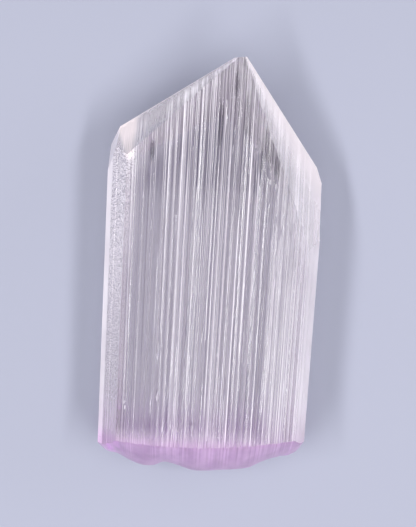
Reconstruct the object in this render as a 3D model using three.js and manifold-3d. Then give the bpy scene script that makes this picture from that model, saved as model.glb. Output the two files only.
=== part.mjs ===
// A tabular kunzite crystal lying on its back face: a flat prism with lengthwise growth striations,
// a lopsided roof of end faces at the tip and an oblique, shell-like fracture at the base.
// Millimetres. +X across the blade, +Y towards the tip, +Z up out of the front face.
// The origin is the centre of the footprint, on the surface that the crystal lies on.
import * as THREE from "three";
import { mergeVertices } from "three/addons/utils/BufferGeometryUtils.js";
import Module from "manifold-3d";

// Driving dimensions of the blade
const LENGTH = 68.3;
const WIDTH = 33.6;
const THICKNESS = 11;
const HALF_LENGTH = LENGTH / 2;
const HALF_WIDTH = WIDTH / 2;

// The prism faces beside the broad ones lean 43.5 degrees from them, as the species grows.
// Each bevel is given by its width across the blade.
const PRISM_ANGLE = THREE.MathUtils.degToRad(43.5);
const FRONT_LEFT_BEVEL = 3.2;
const BACK_LEFT_BEVEL = 3.6;
const BACK_RIGHT_BEVEL = 3.0;
const FRONT_RIGHT_BEVEL = 1.7;

// Growth ledges: long flat treads at slightly different depths, joined by short risers
const FRONT_LEDGES = { count: 58, depth: 0.26, seed: 11 };
const BACK_LEDGES = { count: 46, depth: 0.22, seed: 307 };
const BEVEL_LEDGES = { count: 7, depth: 0.16, seed: 601 };
const SIDE_LEDGES = { count: 9, depth: 0.2, seed: 907 };
const LEDGE_WIDTH = { narrow: 0.35, spread: 1.3, bias: 1.6 }; // relative to one another
const LEDGE_DEPTH_BIAS = 2.2; // above 1, most treads stay shallow
const RISER_SHARE = 0.3; // of a ledge's width
const REST_STRIP = { from: 0.44, to: 0.58 }; // share of the back face that stays flat to lie on

// Growth tongues: long lens-shaped hollows that fade out part of the way along the broad faces
const FRONT_TONGUES = { count: 16, seed: 1201 };
const BACK_TONGUES = { count: 9, seed: 1409 };
const TONGUE = { width: [0.5, 1.5], length: [9, 26], depth: [0.12, 0.34], steps: 6 };
const TONGUE_SIDE_MARGIN = 4.5;
const TONGUE_BASE_MARGIN = 16;
const TONGUE_TIP_MARGIN = 26;

// End faces, each through its ridge and one more point. The ridges run from the tip to the shoulders.
const LEFT_SHOULDER = new THREE.Vector3(-15.2, 22.75, 7.5);
const TIP_LEFT = new THREE.Vector3(1.8, 33.9, 10.6);
const TIP_RIGHT = new THREE.Vector3(3.95, 33.75, 10.6);
const RIGHT_SHOULDER = new THREE.Vector3(15.75, 18.1, 7);
const END_FACES = [
  [LEFT_SHOULDER, TIP_LEFT, new THREE.Vector3(-10.3, 21.8, THICKNESS)],
  [LEFT_SHOULDER, TIP_LEFT, new THREE.Vector3(-12.4, 18.5, 0)],
  [TIP_RIGHT, RIGHT_SHOULDER, new THREE.Vector3(8.2, 22.1, THICKNESS)],
  [TIP_RIGHT, RIGHT_SHOULDER, new THREE.Vector3(11.8, 15.2, 0)],
];

// Small faces that blunt the shoulders and the tip: a point on each and its outward direction
const SMALL_FACES = [
  { point: LEFT_SHOULDER, normal: new THREE.Vector3(-0.93, 0.235, 0.28) },
  { point: RIGHT_SHOULDER, normal: new THREE.Vector3(0.93, 0.36, 0.06) },
  { point: new THREE.Vector3(2.6, HALF_LENGTH - 0.08, 10.2), normal: new THREE.Vector3(-0.14, 0.98, 0.12) },
];

// The fracture bulges lowest along a keel at this height over the back face. From there it climbs
// to its edge on the front face, and a little towards the back face.
const KEEL_LEVEL = 4;
const FRONT_EDGE = { lowest: 6.5, at: -4, curve: 0.006 };
const BACK_RISE = 2.2;
const CLIMB_TO_FRONT = 1.4; // powers that set how suddenly the surface climbs
const CLIMB_TO_BACK = 1.5;

// Height of the keel over the lowest point of the base, from left to right across the blade
const KEEL_LINE = [
  [-20, 8.5], [-17.4, 4.6], [-15.8, 2.9], [-13.6, 2.2], [-11.7, 1.2], [-9.3, 0.4], [-7.6, 0.5],
  [-6.0, 1.2], [-4.9, 1.1], [-3.3, 0.65], [-1.1, 0.0], [1.1, 0.0], [3.2, 0.25], [7.0, 0.7],
  [8.6, 1.1], [10.2, 2.05], [13.6, 3.4], [15.2, 3.8], [16.4, 4.9], [17.3, 7.2], [20, 10],
];
const RIPPLE = { height: 0.16, pitch: 1.9, x: -6, z: 14 }; // shell-like waves round one centre
const FRACTURE_COLUMNS = 64;
const FRACTURE_ROWS = 14;

// Chips out of the front face and its edges: centre, half sizes and turn about Z in degrees
const CHIPS = [
  { at: [7.9, 17.6, 11.12], size: [0.8, 2.6, 0.42], turn: 10 },
  { at: [9.2, 16.1, 11.14], size: [0.5, 1.8, 0.4], turn: -8 },
  { at: [6.7, 20.6, 11.12], size: [0.45, 1.5, 0.34], turn: 4 },
  { at: [10.5, 8.5, 11.1], size: [0.5, 0.9, 0.36], turn: 20 },
  { at: [15.2, 7.7, 10.75], size: [1.1, 0.8, 0.5], turn: -6 },
  { at: [-7.3, -19.2, 11.1], size: [0.32, 1.1, 0.36], turn: -14 },
  { at: [-7.4, -11.9, 11.1], size: [0.3, 1.2, 0.32], turn: -10 },
  { at: [-12.3, -21.1, 11.1], size: [0.32, 0.8, 0.36], turn: 6 },
  { at: [-5.7, -25.2, 11.1], size: [0.7, 0.9, 0.36], turn: 18 },
  { at: [-16.5, -16.5, 8.5], size: [0.5, 1.2, 0.5], turn: 0 },
];
const CHIP_DETAIL = 1;

const REACH = 60; // larger than the crystal, for cutting blocks
const WELD_DISTANCE = 1e-4;

const wasm = await Module();
wasm.setup();

// A repeatable number from 0 to 1 for each whole number
function scatter(n) {
  const wave = Math.sin(n * 12.9898 + 4.1414) * 43758.5453;
  return wave - Math.floor(wave);
}

function between([low, high], share) {
  return low + (high - low) * share;
}

// A closed three.js geometry as a solid that can be joined and cut
function solidOf(geometry) {
  const bare = geometry.clone();
  bare.deleteAttribute("normal");
  bare.deleteAttribute("uv");
  const merged = mergeVertices(bare, WELD_DISTANCE);
  return new wasm.Manifold(
    new wasm.Mesh({
      numProp: 3,
      vertProperties: new Float32Array(merged.attributes.position.array),
      triVerts: new Uint32Array(merged.index.array),
    }),
  );
}

// Where each ledge of a face starts and ends, as shares of the face's width, and its depth
function ledgesOf({ count, depth, seed }) {
  const { narrow, spread, bias } = LEDGE_WIDTH;
  const widths = Array.from({ length: count }, (_, i) => narrow + spread * scatter(seed + i) ** bias);
  const total = widths.reduce((sum, width) => sum + width, 0);
  let end = 0;
  return widths.map((width, i) => {
    const start = end;
    end += width / total;
    return { start, end, depth: depth * scatter(seed + count + i) ** LEDGE_DEPTH_BIAS };
  });
}

// One face of the section from one corner towards the next, with its ledges sunk inwards.
// The first and last ledges keep the face's own level, and so does any ledge in the flat strip.
function steppedFace(from, to, ledges, flat = { from: 1, to: 0 }) {
  const along = to.clone().sub(from);
  const inward = new THREE.Vector2(-along.y, along.x).normalize();
  const points = [from];
  for (const { start, end, depth } of ledges.slice(1, -1)) {
    const isFlat = end > flat.from && start < flat.to;
    for (const share of [start + (end - start) * RISER_SHARE, end]) {
      const point = from.clone().addScaledVector(along, share);
      points.push(point.addScaledVector(inward, isFlat ? 0 : depth));
    }
  }
  return points;
}

// The section across the blade, in X and Z, counter-clockwise from the back left corner
function section() {
  const slope = Math.tan(PRISM_ANGLE);
  const backLeft = new THREE.Vector2(-HALF_WIDTH + BACK_LEFT_BEVEL, 0);
  const backRight = new THREE.Vector2(HALF_WIDTH - BACK_RIGHT_BEVEL, 0);
  const rightLow = new THREE.Vector2(HALF_WIDTH, BACK_RIGHT_BEVEL * slope);
  const rightHigh = new THREE.Vector2(HALF_WIDTH, THICKNESS - FRONT_RIGHT_BEVEL * slope);
  const frontRight = new THREE.Vector2(HALF_WIDTH - FRONT_RIGHT_BEVEL, THICKNESS);
  const frontLeft = new THREE.Vector2(-HALF_WIDTH + FRONT_LEFT_BEVEL, THICKNESS);
  const leftHigh = new THREE.Vector2(-HALF_WIDTH, THICKNESS - FRONT_LEFT_BEVEL * slope);
  const leftLow = new THREE.Vector2(-HALF_WIDTH, BACK_LEFT_BEVEL * slope);
  const vary = (ledges, turn) => ledgesOf({ ...ledges, seed: ledges.seed + turn });
  return [
    ...steppedFace(backLeft, backRight, ledgesOf(BACK_LEDGES), REST_STRIP),
    ...steppedFace(backRight, rightLow, vary(BEVEL_LEDGES, 0)),
    ...steppedFace(rightLow, rightHigh, vary(SIDE_LEDGES, 0)),
    rightHigh,
    ...steppedFace(frontRight, frontLeft, ledgesOf(FRONT_LEDGES)),
    ...steppedFace(frontLeft, leftHigh, vary(BEVEL_LEDGES, 40)),
    ...steppedFace(leftHigh, leftLow, vary(SIDE_LEDGES, 40)),
    ...steppedFace(leftLow, backLeft, vary(BEVEL_LEDGES, 80)),
  ];
}

// The striated prism, longer than the crystal at both ends
function prism() {
  const overLength = LENGTH + 10;
  const outline = new THREE.Shape(section());
  const geometry = new THREE.ExtrudeGeometry(outline, { depth: overLength, bevelEnabled: false });
  return solidOf(geometry.rotateX(Math.PI / 2).translate(0, overLength / 2, 0));
}

// A block that fills everything beyond a plane
function beyond(point, normal) {
  const block = new THREE.BoxGeometry(2 * REACH, 2 * REACH, REACH).translate(0, 0, REACH / 2);
  const up = new THREE.Vector3(0, 0, 1);
  const turn = new THREE.Quaternion().setFromUnitVectors(up, normal.clone().normalize());
  return solidOf(block.applyQuaternion(turn).translate(point.x, point.y, point.z));
}

// The outward direction of an end face: square to it and pointing towards the tip
function endFaceNormal([a, b, c]) {
  const normal = b.clone().sub(a).cross(c.clone().sub(a)).normalize();
  return normal.y < 0 ? normal.negate() : normal;
}

// The keel's height at x, on a smooth curve through its points
const keelCurve = new THREE.SplineCurve(KEEL_LINE.map(([x, y]) => new THREE.Vector2(x, y)));
const keelSamples = keelCurve.getPoints(400);
function keelHeight(x) {
  const next = Math.max(1, keelSamples.findIndex((sample) => sample.x >= x));
  const [a, b] = [keelSamples[next - 1], keelSamples[next]];
  return THREE.MathUtils.lerp(a.y, b.y, (x - a.x) / (b.x - a.x));
}

// Height of the fracture over the lowest point of the base, at a place of the section
function fractureHeight(x, z) {
  const keel = keelHeight(x);
  const edge = Math.max(keel, FRONT_EDGE.lowest + FRONT_EDGE.curve * (x - FRONT_EDGE.at) ** 2);
  const toFront = Math.max(0, (z - KEEL_LEVEL) / (THICKNESS - KEEL_LEVEL));
  const toBack = Math.max(0, (KEEL_LEVEL - z) / KEEL_LEVEL);
  const climb = (edge - keel) * toFront ** CLIMB_TO_FRONT + BACK_RISE * toBack ** CLIMB_TO_BACK;
  const distance = Math.hypot(x - RIPPLE.x, z - RIPPLE.z);
  const wave = 0.5 + 0.5 * Math.sin((2 * Math.PI * distance) / RIPPLE.pitch);
  return keel + climb + RIPPLE.height * wave * Math.min(1, toFront + toBack);
}

// Everything below the fracture surface
function belowFracture() {
  const margin = 3;
  const size = [WIDTH + 2 * margin, 2 * margin, THICKNESS + 2];
  const block = new THREE.BoxGeometry(...size, FRACTURE_COLUMNS, 1, FRACTURE_ROWS);
  const position = block.translate(0, 0, THICKNESS / 2).getAttribute("position");
  for (let i = 0; i < position.count; i++) {
    const isTop = position.getY(i) > 0;
    const height = isTop ? fractureHeight(position.getX(i), position.getZ(i)) : -margin;
    position.setY(i, height - HALF_LENGTH);
  }
  return solidOf(block);
}

// A lens-shaped hollow in a broad face, running lengthwise and pointed at both ends
function tongue(index, seed, isFront) {
  const draw = (k) => scatter(seed + 7 * index + k);
  const halfWidth = between(TONGUE.width, draw(0) ** 2) / 2;
  const halfLength = between(TONGUE.length, draw(1)) / 2;
  const depth = between(TONGUE.depth, draw(2));
  const side = HALF_WIDTH - TONGUE_SIDE_MARGIN;
  const x = between([-side, side], draw(3));
  const y = between([TONGUE_BASE_MARGIN - HALF_LENGTH, HALF_LENGTH - TONGUE_TIP_MARGIN], draw(4));
  const outline = [];
  for (let i = 0; i < 2 * TONGUE.steps; i++) {
    const angle = (Math.PI * i) / TONGUE.steps;
    const across = Math.sign(Math.sin(angle)) * Math.abs(Math.sin(angle)) ** 1.5;
    outline.push(new THREE.Vector2(halfWidth * across, halfLength * Math.cos(angle)));
  }
  const shape = new THREE.Shape(outline.reverse());
  const geometry = new THREE.ExtrudeGeometry(shape, { depth: 1, bevelEnabled: false });
  return solidOf(geometry.translate(x, y, isFront ? THICKNESS - depth : depth - 1));
}

// A chip: a squashed faceted ball that takes a shell-like bite
function chip({ at, size, turn }) {
  const ball = new THREE.IcosahedronGeometry(1, CHIP_DETAIL).scale(...size);
  return solidOf(ball.rotateZ(THREE.MathUtils.degToRad(turn)).translate(...at));
}

// The prism with everything cut away; a splinter that a cut sets free is dropped
function crystalSolid() {
  const cuts = [
    belowFracture(),
    ...END_FACES.map((points) => beyond(points[0], endFaceNormal(points))),
    ...SMALL_FACES.map(({ point, normal }) => beyond(point, normal)),
    ...CHIPS.map(chip),
  ];
  for (let i = 0; i < FRONT_TONGUES.count; i++) {
    cuts.push(tongue(i, FRONT_TONGUES.seed, true));
  }
  for (let i = 0; i < BACK_TONGUES.count; i++) {
    cuts.push(tongue(i, BACK_TONGUES.seed, false));
  }
  const pieces = cuts.reduce((solid, cut) => solid.subtract(cut), prism()).decompose();
  return pieces.reduce((large, piece) => (piece.volume() > large.volume() ? piece : large));
}

function geometryOf(solid) {
  const { vertProperties, triVerts } = solid.getMesh();
  const geometry = new THREE.BufferGeometry();
  geometry.setAttribute("position", new THREE.BufferAttribute(vertProperties, 3));
  geometry.setIndex(new THREE.BufferAttribute(triVerts, 1));
  geometry.computeVertexNormals();
  return geometry;
}

// Clear, pale lilac and glassy
const kunzite = new THREE.MeshStandardMaterial({
  color: 0xd9cbe4,
  roughness: 0.12,
  metalness: 0,
  transparent: true,
  opacity: 0.5,
  flatShading: true,
});

const crystal = new THREE.Mesh(geometryOf(crystalSolid()), kunzite);
crystal.name = "kunzite_crystal";

const specimen = new THREE.Group();
specimen.add(crystal);

export default specimen;
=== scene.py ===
"""Looks of a kunzite crystal: a clear lilac blade, finely striated lengthwise, lying on a pale floor.

All shapes are worked out in millimetres, +X across the blade, +Y towards the tip, +Z up out of the
front face, and are turned into metres when a mesh is made.
"""

import logging
import math
from dataclasses import dataclass, field
from enum import Enum
from functools import cached_property

import bmesh
import bpy
import numpy as np
from mathutils import Matrix, Vector
from mathutils.geometry import delaunay_2d_cdt


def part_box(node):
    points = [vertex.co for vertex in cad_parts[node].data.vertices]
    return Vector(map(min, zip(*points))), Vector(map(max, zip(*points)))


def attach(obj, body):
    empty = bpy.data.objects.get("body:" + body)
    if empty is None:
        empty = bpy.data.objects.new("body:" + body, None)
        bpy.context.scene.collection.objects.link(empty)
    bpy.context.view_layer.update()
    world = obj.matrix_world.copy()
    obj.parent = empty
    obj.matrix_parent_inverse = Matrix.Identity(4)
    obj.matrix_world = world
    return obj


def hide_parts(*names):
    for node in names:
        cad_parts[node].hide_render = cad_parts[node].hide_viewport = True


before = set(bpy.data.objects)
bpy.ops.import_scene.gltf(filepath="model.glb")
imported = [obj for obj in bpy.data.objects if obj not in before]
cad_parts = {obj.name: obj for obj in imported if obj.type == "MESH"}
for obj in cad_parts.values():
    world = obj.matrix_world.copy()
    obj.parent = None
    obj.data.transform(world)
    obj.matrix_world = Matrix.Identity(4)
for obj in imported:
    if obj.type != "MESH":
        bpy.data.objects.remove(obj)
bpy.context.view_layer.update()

LOG = logging.getLogger("kunzite")
MM = 0.001
NODE = "kunzite_crystal"
SLOT = "kunzite"
TIP_FACES = "tip_faces"
TINY = 1e-12

Span = tuple[float, float]
Triple = tuple[float, float, float]


def scatter(numbers: np.ndarray) -> np.ndarray:
    """Gives a repeatable number from 0 to 1 for each number: the fraction left of a steep, tall sine.

    Args:
        numbers: Any array of numbers, usually whole ones.

    Returns:
        An array of the same shape, with values from 0 to 1.
    """
    steepness, shift, tallness = 12.9898, 4.1414, 43758.5453
    wave = np.sin(np.asarray(numbers, float) * steepness + shift) * tallness
    return wave - np.floor(wave)


def smooth_step(low: float, high: float, value: np.ndarray) -> np.ndarray:
    """Goes from 0 at low to 1 at high, as 3t squared minus 2t cubed. High may be less than low.

    Args:
        low: Where the result starts to rise.
        high: Where it has reached 1.
        value: The values to place on that rise.

    Returns:
        An array of the shape of value.
    """
    t = np.clip((value - low) / (high - low), 0.0, 1.0)
    return t * t * (3.0 - 2.0 * t)


class Face(Enum):
    """The growth faces of the section, in the order of the ring round it."""

    FRONT_LEFT_BEVEL = 0
    FRONT = 1
    FRONT_RIGHT_BEVEL = 2
    RIGHT = 3
    BACK_RIGHT_BEVEL = 4
    BACK = 5
    BACK_LEFT_BEVEL = 6
    LEFT = 7


FRONT_FACES = (Face.FRONT, Face.FRONT_LEFT_BEVEL, Face.FRONT_RIGHT_BEVEL)
BACK_FACES = (Face.BACK, Face.BACK_LEFT_BEVEL, Face.BACK_RIGHT_BEVEL)
WALLS = (Face.LEFT, Face.RIGHT)


@dataclass(frozen=True)
class Ledges:
    """Growth ledges of one face: how many, how deep at most, and the seed of their layout."""

    count: int
    depth: float
    seed: int
    least_width: float = 0.35
    more_width: float = 1.3
    width_power: float = 1.6
    depth_power: float = 2.2
    riser: float = 0.16

    def outline(self) -> tuple[np.ndarray, np.ndarray]:
        """Lays the ledges out across the face, each as a short riser and a flat tread.

        Widths and depths are random numbers raised to a power, so most ledges are narrow and
        shallow. The first and the last stay flush with the face.

        Returns:
            Where the outline bends, as shares of the face's width, and the depth at each place.
        """
        number = np.arange(self.count)
        width = self.least_width + self.more_width * scatter(self.seed + number) ** self.width_power
        end = np.cumsum(width) / width.sum()
        start = end - width / width.sum()
        sunk = self.depth * scatter(self.seed + self.count + number) ** self.depth_power
        bends = np.stack([start + (end - start) * self.riser, end], 1)[1:-1].ravel()
        places = np.concatenate([[0.0], bends, [1.0]])
        depths = np.concatenate([[0.0], np.repeat(sunk[1:-1], 2), [0.0]])
        return 1 - places[::-1], depths[::-1]


@dataclass(frozen=True)
class Blade:
    """Driving sizes of the prism in millimetres. The outer ones and the base come from the frame."""

    length: float
    width: float
    thickness: float
    base: float
    prism_angle: float = math.radians(43.5)
    front_left_bevel: float = 3.2
    back_left_bevel: float = 3.6
    back_right_bevel: float = 3.0
    front_right_bevel: float = 1.7

    @classmethod
    def from_frame(cls) -> "Blade":
        """Reads the blade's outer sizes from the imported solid.

        Returns:
            The blade with its length, width and thickness in millimetres.
        """
        low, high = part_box(NODE)
        size = (high - low) / MM
        return cls(length=size.y, width=size.x, thickness=size.z, base=low.y / MM)

    def corners(self) -> dict[Face, np.ndarray]:
        """Gives the corner that each face of the section starts from, going clockwise seen from the base.

        Returns:
            For each face its first corner as x and z.
        """
        half = self.width / 2
        slope = math.tan(self.prism_angle)
        top = self.thickness
        return {
            Face.FRONT_LEFT_BEVEL: np.array([-half, top - self.front_left_bevel * slope]),
            Face.FRONT: np.array([-half + self.front_left_bevel, top]),
            Face.FRONT_RIGHT_BEVEL: np.array([half - self.front_right_bevel, top]),
            Face.RIGHT: np.array([half, top - self.front_right_bevel * slope]),
            Face.BACK_RIGHT_BEVEL: np.array([half, self.back_right_bevel * slope]),
            Face.BACK: np.array([half - self.back_right_bevel, 0.0]),
            Face.BACK_LEFT_BEVEL: np.array([-half + self.back_left_bevel, 0.0]),
            Face.LEFT: np.array([-half, self.back_left_bevel * slope]),
        }

    def sides(self) -> tuple[np.ndarray, np.ndarray]:
        """Gives the start of each side of the section, and the way from there to its end, as x and z."""
        start = np.array([*self.corners().values()])
        return start, np.roll(start, -1, axis=0) - start

    def outward(self) -> np.ndarray:
        """Gives each flat face's outward direction as x, y and z, in the order of the ring.

        Returns:
            One row for each face, square to its side of the section.
        """
        start, along = self.sides()
        facing = np.stack([-along[:, 1], np.zeros(len(start)), along[:, 0]], 1)
        return facing / np.linalg.norm(facing, axis=1)[:, None]


@dataclass(frozen=True)
class Fracture:
    """The oblique shell-like break at the base, as a height over the blade's lowest point."""

    keel_level: float = 4.0
    edge_lowest: float = 6.5
    edge_at: float = -4.0
    edge_curve: float = 0.006
    back_rise: float = 2.2
    climb_to_front: float = 1.4
    climb_to_back: float = 1.5
    ripple_height: float = 0.12
    ripple_pitch: float = 1.9
    ripple_centre: Span = (-6.0, 14.0)
    keel_x: tuple[float, ...] = (
        -20, -17.4, -15.8, -13.6, -11.7, -9.3, -7.6, -6.0, -4.9, -3.3, -1.1,
        1.1, 3.2, 7.0, 8.6, 10.2, 13.6, 15.2, 16.4, 17.3, 20,
    )
    keel_height: tuple[float, ...] = (
        8.5, 4.6, 2.9, 2.2, 1.2, 0.4, 0.5, 1.2, 1.1, 0.65, 0.0,
        0.0, 0.25, 0.7, 1.1, 2.05, 3.4, 3.8, 4.9, 7.2, 10,
    )

    def keel(self, x: np.ndarray) -> np.ndarray:
        """Height of the keel line at x, on a cubic curve whose slope at a point joins its neighbours.

        Args:
            x: Places across the blade.

        Returns:
            Heights over the lowest point of the base.
        """
        px, py = np.array(self.keel_x, float), np.array(self.keel_height, float)
        slope = np.gradient(py, px)
        i = np.clip(np.searchsorted(px, x) - 1, 0, len(px) - 2)
        step = px[i + 1] - px[i]
        t = (x - px[i]) / step
        rise = (1 + 2 * t) * (1 - t) ** 2 * py[i] + t * t * (3 - 2 * t) * py[i + 1]
        return rise + step * (t * (1 - t) ** 2 * slope[i] - t * t * (1 - t) * slope[i + 1])

    def height(self, x: np.ndarray, z: np.ndarray, thickness: float) -> np.ndarray:
        """Keel height, plus a climb to the edge on the front face and a smaller one to the back face.

        The climb goes with a power of the distance from the keel level, so the break is rounded at
        the keel. Shell-like waves round one centre fade in away from the keel.

        Args:
            x: Places across the blade.
            z: Places through its thickness.
            thickness: The blade's thickness.

        Returns:
            Heights over the lowest point of the base.
        """
        keel = self.keel(x)
        edge = np.maximum(keel, self.edge_lowest + self.edge_curve * (x - self.edge_at) ** 2)
        front = np.clip((z - self.keel_level) / (thickness - self.keel_level), 0, None)
        back = np.clip((self.keel_level - z) / self.keel_level, 0, None)
        climb = (edge - keel) * front**self.climb_to_front + self.back_rise * back**self.climb_to_back
        distance = np.hypot(x - self.ripple_centre[0], z - self.ripple_centre[1])
        wave = 0.5 + 0.5 * np.sin(2 * math.pi * distance / self.ripple_pitch)
        return np.maximum(0.0, keel + climb + self.ripple_height * wave * np.minimum(1.0, front + back))


@dataclass(frozen=True)
class FlatFace:
    """A flat natural face: a point on it and its outward direction."""

    point: Vector
    normal: Vector

    @classmethod
    def through(cls, a: Vector, b: Vector, c: Vector) -> "FlatFace":
        """Makes the face through three points, square to the edges between them and facing the tip.

        Args:
            a: First point.
            b: Second point.
            c: Third point.

        Returns:
            The face.
        """
        normal = (b - a).cross(c - a).normalized()
        return cls(a, -normal if normal.y < 0 else normal)

    def distance(self, points: np.ndarray) -> np.ndarray:
        """Gives how far points lie in front of the face, along its outward direction.

        Args:
            points: Points as rows of x, y and z.

        Returns:
            One distance for each point.
        """
        return (points - np.array(self.point)) @ np.array(self.normal.normalized())


@dataclass(frozen=True)
class Termination:
    """The tip: a ridge from it to each shoulder, an end face each side of both, and small blunting faces."""

    left_shoulder: Vector = Vector((-15.2, 22.75, 7.5))
    tip_left: Vector = Vector((1.8, 33.9, 10.6))
    tip_right: Vector = Vector((3.95, 33.75, 10.6))
    right_shoulder: Vector = Vector((15.75, 18.1, 7.0))
    front_left_foot: Vector = Vector((-10.3, 21.8, 11.0))
    back_left_foot: Vector = Vector((-12.4, 18.5, 0.0))
    front_right_foot: Vector = Vector((8.2, 22.1, 11.0))
    back_right_foot: Vector = Vector((11.8, 15.2, 0.0))
    left_shoulder_facing: Vector = Vector((-0.93, 0.235, 0.28))
    right_shoulder_facing: Vector = Vector((0.93, 0.36, 0.06))
    blunt_tip: Vector = Vector((2.6, 34.07, 10.2))
    blunt_facing: Vector = Vector((-0.14, 0.98, 0.12))

    def front_right(self) -> FlatFace:
        """Gives the broad end face on the right of the front."""
        return FlatFace.through(self.tip_right, self.right_shoulder, self.front_right_foot)

    def front_left(self) -> FlatFace:
        """Gives the narrow end face on the left of the front."""
        return FlatFace.through(self.left_shoulder, self.tip_left, self.front_left_foot)

    def faces(self) -> list[FlatFace]:
        """Gives every flat face that ends the blade, the large ones first.

        Returns:
            The faces in the order that they are cut in.
        """
        return [
            self.front_left(),
            FlatFace.through(self.left_shoulder, self.tip_left, self.back_left_foot),
            self.front_right(),
            FlatFace.through(self.tip_right, self.right_shoulder, self.back_right_foot),
            FlatFace(self.left_shoulder, self.left_shoulder_facing),
            FlatFace(self.right_shoulder, self.right_shoulder_facing),
            FlatFace(self.blunt_tip, self.blunt_facing),
        ]

    def from_ridge(self, points: np.ndarray) -> np.ndarray:
        """Gives the distance from points to the nearer of the two ridges, taken as endless lines.

        Args:
            points: Points as rows of x, y and z.

        Returns:
            One distance for each point.
        """
        away = []
        for start, end in ((self.left_shoulder, self.tip_left), (self.tip_right, self.right_shoulder)):
            line = np.array((end - start).normalized())
            away.append(np.linalg.norm(np.cross(points - np.array(start), line), axis=1))
        return np.minimum(*away)


@dataclass(frozen=True)
class Chip:
    """A shell-like bite out of the front face: centre, half sizes and turn about Z in degrees."""

    at: Triple
    size: Triple
    turn: float

    def depth(self, x: np.ndarray, y: np.ndarray, thickness: float) -> np.ndarray:
        """Depth of an ellipsoid's lower half under the front face, and 0 outside it.

        Args:
            x: Places across the blade.
            y: Places along it.
            thickness: The front face's height.

        Returns:
            Depths of the shape of x.
        """
        angle = math.radians(self.turn)
        across = (x - self.at[0]) * math.cos(angle) + (y - self.at[1]) * math.sin(angle)
        along = (y - self.at[1]) * math.cos(angle) - (x - self.at[0]) * math.sin(angle)
        left = 1 - (across / self.size[0]) ** 2 - (along / self.size[1]) ** 2
        return np.clip(self.size[2] * np.sqrt(np.clip(left, 0, None)) - (self.at[2] - thickness), 0, None)


@dataclass(frozen=True)
class Crest:
    """A long straight ridge whose one flank leans enough to catch a side light along its length."""

    x: float
    width: float
    lean: float
    low: float
    high: float
    back_share: float = 0.3
    fade: float = 7.0

    def depth(self, x: np.ndarray, y: np.ndarray) -> np.ndarray:
        """Depth of the groove beside the ridge: its flank falls at the leaning angle, then it steps back up.

        The flank is width wide and falls away from x, towards +x where the lean is positive. The
        groove fades in and out towards its ends.

        Args:
            x: Places across the blade.
            y: Places along it.

        Returns:
            Depths of the shape of x.
        """
        out = (x - self.x) * math.copysign(1.0, self.lean) / self.width
        deepest = self.width * math.tan(abs(math.radians(self.lean)))
        profile = np.interp(out, (0.0, 1.0, 1.0 + self.back_share), (0.0, 1.0, 0.0), left=0.0, right=0.0)
        lower_end = smooth_step(self.low, self.low + self.fade, y)
        upper_end = smooth_step(self.high, self.high - self.fade, y)
        return deepest * profile * (lower_end * upper_end)


@dataclass(frozen=True)
class ThinCrests:
    """Thin ridges spread over a broad face: how many, how far out, the highest end and the layout's seed."""

    count: int
    reach: float
    top: float
    seed: int
    least_width: float = 0.1
    more_width: float = 0.12
    least_lean: float = 12.0
    more_lean: float = 10.0
    lowest: float = -31.0
    later_start: float = 26.0
    earlier_end: float = 24.0
    fade: float = 5.0

    def spread(self) -> tuple[Crest, ...]:
        """Places the ridges side by side with a random offset, leaning left and right by turns.

        Each ridge takes five random draws, numbered from seven times its own number on.

        Returns:
            The ridges.
        """
        draws = scatter(np.arange(self.count)[:, None] * 7 + np.arange(5) + self.seed)
        return tuple(
            Crest(
                x=self.reach * (2 * (number + draw[0]) / self.count - 1),
                width=self.least_width + self.more_width * draw[1],
                lean=(self.least_lean + self.more_lean * draw[2]) * (-1) ** number,
                low=self.lowest + self.later_start * draw[3] ** 2,
                high=self.top - self.earlier_end * draw[4] ** 2,
                fade=self.fade,
            )
            for number, draw in enumerate(draws.tolist())
        )


@dataclass(frozen=True)
class Arch:
    """A sunk strip that starts in a point and runs down to the base, widening over its first stretch."""

    x: float
    tip: float
    half_width: float
    sunk: float
    widening: float = 4.5
    soft_edge: float = 0.07
    shallower: float = 0.6
    shallower_over: Span = (2.0, 6.0)

    def depth(self, x: np.ndarray, y: np.ndarray) -> np.ndarray:
        """Depth of the strip, whose half width nears its widest as 1 less e to the power -distance.

        The distance counts in stretches of widening below the strip's tip, and far down the strip
        grows shallower.

        Args:
            x: Places across the blade.
            y: Places along it.

        Returns:
            Depths of the shape of x.
        """
        down = np.clip(self.tip - y, 0.0, None) / self.widening
        reach = self.half_width * (1.0 - np.exp(-down))
        inside = smooth_step(-self.soft_edge, 0.0, reach - np.abs(x - self.x)) * (down > 0)
        return self.sunk * inside * (1.0 - self.shallower * smooth_step(*self.shallower_over, down))


@dataclass(frozen=True)
class PaintedShadeSpot:
    """A lens-shaped spot of painted shade in the crystal: its centre and its half sizes."""

    x: float
    y: float
    half_width: float
    half_height: float
    power: float = 1.5

    def share(self, x: np.ndarray, y: np.ndarray) -> np.ndarray:
        """Gives 1 less the squared distance from the centre, counted in half sizes, to a power.

        Args:
            x: Places across the blade.
            y: Places along it.

        Returns:
            A share from 0 to 1 for each place.
        """
        left = 1 - ((x - self.x) / self.half_width) ** 2 - ((y - self.y) / self.half_height) ** 2
        return np.clip(left, 0, 1) ** self.power


@dataclass(frozen=True)
class Stain:
    """The warm stain below the left shoulder: a wedge that widens and leans outwards going up."""

    foot: Span = (-13.1, 17.4)
    height: float = 5.0
    foot_half: float = 0.15
    more_half: float = 1.25
    outwards: float = 0.9
    soft: Span = (0.7, -0.4)
    rise: float = 0.25

    def share(self, x: np.ndarray, y: np.ndarray) -> np.ndarray:
        """Fades from 1 inside the wedge to 0 outside it, and in over its first stretch upwards.

        Args:
            x: Places across the blade.
            y: Places along it.

        Returns:
            A share from 0 to 1 for each place.
        """
        up = np.clip((y - self.foot[1]) / self.height, 0.0, 1.0)
        half = self.foot_half + self.more_half * up
        aside = np.abs(x - self.foot[0] + self.outwards * up)
        return smooth_step(half + self.soft[0], half + self.soft[1], aside) * smooth_step(0.0, self.rise, up)


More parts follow.
